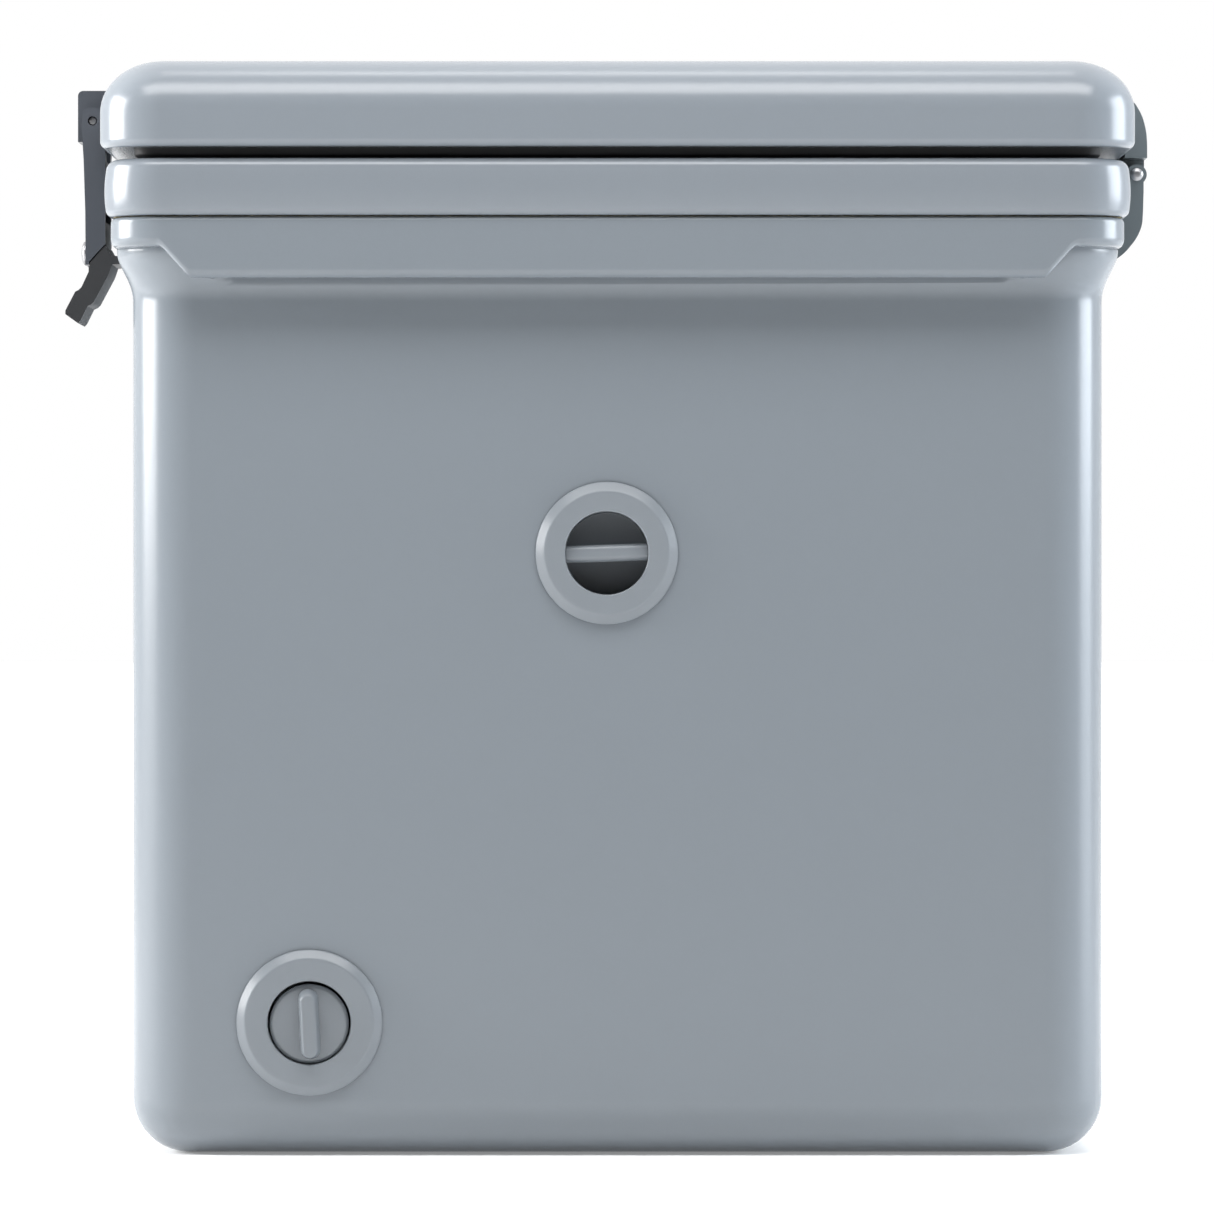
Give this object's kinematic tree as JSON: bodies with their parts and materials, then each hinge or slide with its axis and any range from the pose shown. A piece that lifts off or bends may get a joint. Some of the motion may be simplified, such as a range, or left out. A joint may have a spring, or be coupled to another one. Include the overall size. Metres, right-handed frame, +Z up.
{
  "type": "wheeled cooler box",
  "caption": "Insulated chest cooler with a hinged gasketed lid, swing latches, a drain plug, a tow bar and wheels at one end.",
  "frame": {"origin": "on the floor, under the middle of the tub's flat underside", "axes": "+Z up, -Y out of the end with the drain plug and tow cup, +Y out of the wheel end, -X out of the latch side, +X out of the hinge side"},
  "size_m": [0.5151, 0.766, 0.51],
  "materials": {
    "shell_moulding": "gloss",
    "lid_moulding": "gloss",
    "liner_moulding": "gloss",
    "fitting": "gloss",
    "drain_plug": "satin",
    "foam": "matte",
    "seal_rubber": "matte",
    "hinge_nylon": "satin",
    "latch_nylon": "satin",
    "catch_black": "matte",
    "stainless": "satin",
    "tyre": "matte",
    "hub": "satin",
    "bush": "satin"
  },
  "bodies": {
    "body": {"outer_shell": "shell_moulding", "inner_liner": "liner_moulding", "drain_bush": "fitting", "tow_cup": "fitting", "tow_bar": "fitting", "body_foam": "foam", "hinge_lower_leaf_1": "hinge_nylon", "hinge_lower_leaf_2": "hinge_nylon", "hinge_pin_1": "stainless", "hinge_pin_2": "stainless", "axle": "stainless", "axle_sleeve": "stainless", "axle_nut_left": "stainless", "axle_nut_right": "stainless", "wheel_spacer_left": "stainless", "wheel_spacer_right": "stainless", "hinge_screw_lower_1a": "stainless", "hinge_screw_lower_1b": "stainless", "hinge_screw_lower_2a": "stainless", "hinge_screw_lower_2b": "stainless"},
    "lid": {"lid_cover": "lid_moulding", "lid_liner": "liner_moulding", "lid_foam": "foam", "lid_gasket": "seal_rubber", "hinge_upper_leaf_1": "hinge_nylon", "hinge_upper_leaf_2": "hinge_nylon", "latch_bracket_1": "latch_nylon", "latch_bracket_2": "latch_nylon", "latch_pin_1": "stainless", "latch_pin_2": "stainless", "hinge_screw_upper_1a": "stainless", "hinge_screw_upper_1b": "stainless", "hinge_screw_upper_2a": "stainless", "hinge_screw_upper_2b": "stainless", "latch_screw_1a": "stainless", "latch_screw_1b": "stainless", "latch_screw_2a": "stainless", "latch_screw_2b": "stainless"},
    "latch_1": {"latch_arm_1": "latch_nylon", "latch_catch_1": "catch_black", "latch_rivet_1a": "stainless", "latch_rivet_1b": "stainless"},
    "latch_2": {"latch_arm_2": "latch_nylon", "latch_catch_2": "catch_black", "latch_rivet_2a": "stainless", "latch_rivet_2b": "stainless"},
    "drain_seal": {"drain_seal": "seal_rubber"},
    "drain_plug": {"drain_plug": "drain_plug"},
    "wheel_left": {"tyre_left": "tyre", "hub_left": "hub", "hub_cap_left": "hub", "bush_left": "bush"},
    "wheel_right": {"tyre_right": "tyre", "hub_right": "hub", "hub_cap_right": "hub", "bush_right": "bush"}
  },
  "joints": [
    {"name": "lid_open", "type": "hinge", "parent": "body", "child": "lid", "pos_m": [0.24715, 0, 0.4614], "axis": [0, 1, 0], "range_deg": [0, 105]},
    {"name": "latch_1_swing", "type": "hinge", "parent": "lid", "child": "latch_1", "pos_m": [-0.24985, -0.258, 0.487], "axis": [0, 1, 0], "range_deg": [0, 180]},
    {"name": "latch_2_swing", "type": "hinge", "parent": "lid", "child": "latch_2", "pos_m": [-0.24985, 0.258, 0.487], "axis": [0, 1, 0], "range_deg": [0, 180]},
    {"name": "wheel_left_spin", "type": "hinge", "parent": "body", "child": "wheel_left", "pos_m": [-0.20295, 0.314, 0.07], "axis": [1, 0, 0], "continuous": true},
    {"name": "wheel_right_spin", "type": "hinge", "parent": "body", "child": "wheel_right", "pos_m": [0.20295, 0.314, 0.07], "axis": [1, 0, 0], "continuous": true},
    {"name": "drain_advance", "type": "slide", "parent": "body", "child": "drain_seal", "axis": [0, -1, 0], "range_m": [0, 0.015]},
    {"name": "drain_turn", "type": "hinge", "parent": "drain_seal", "child": "drain_plug", "pos_m": [-0.1435, -0.35, 0.0621], "axis": [0, -1, 0], "range_deg": [0, 1080]}
  ],
  "couplings": [
    {"joint": "drain_advance", "follows": "drain_turn", "m_per_rad": 0.00079577}
  ]
}
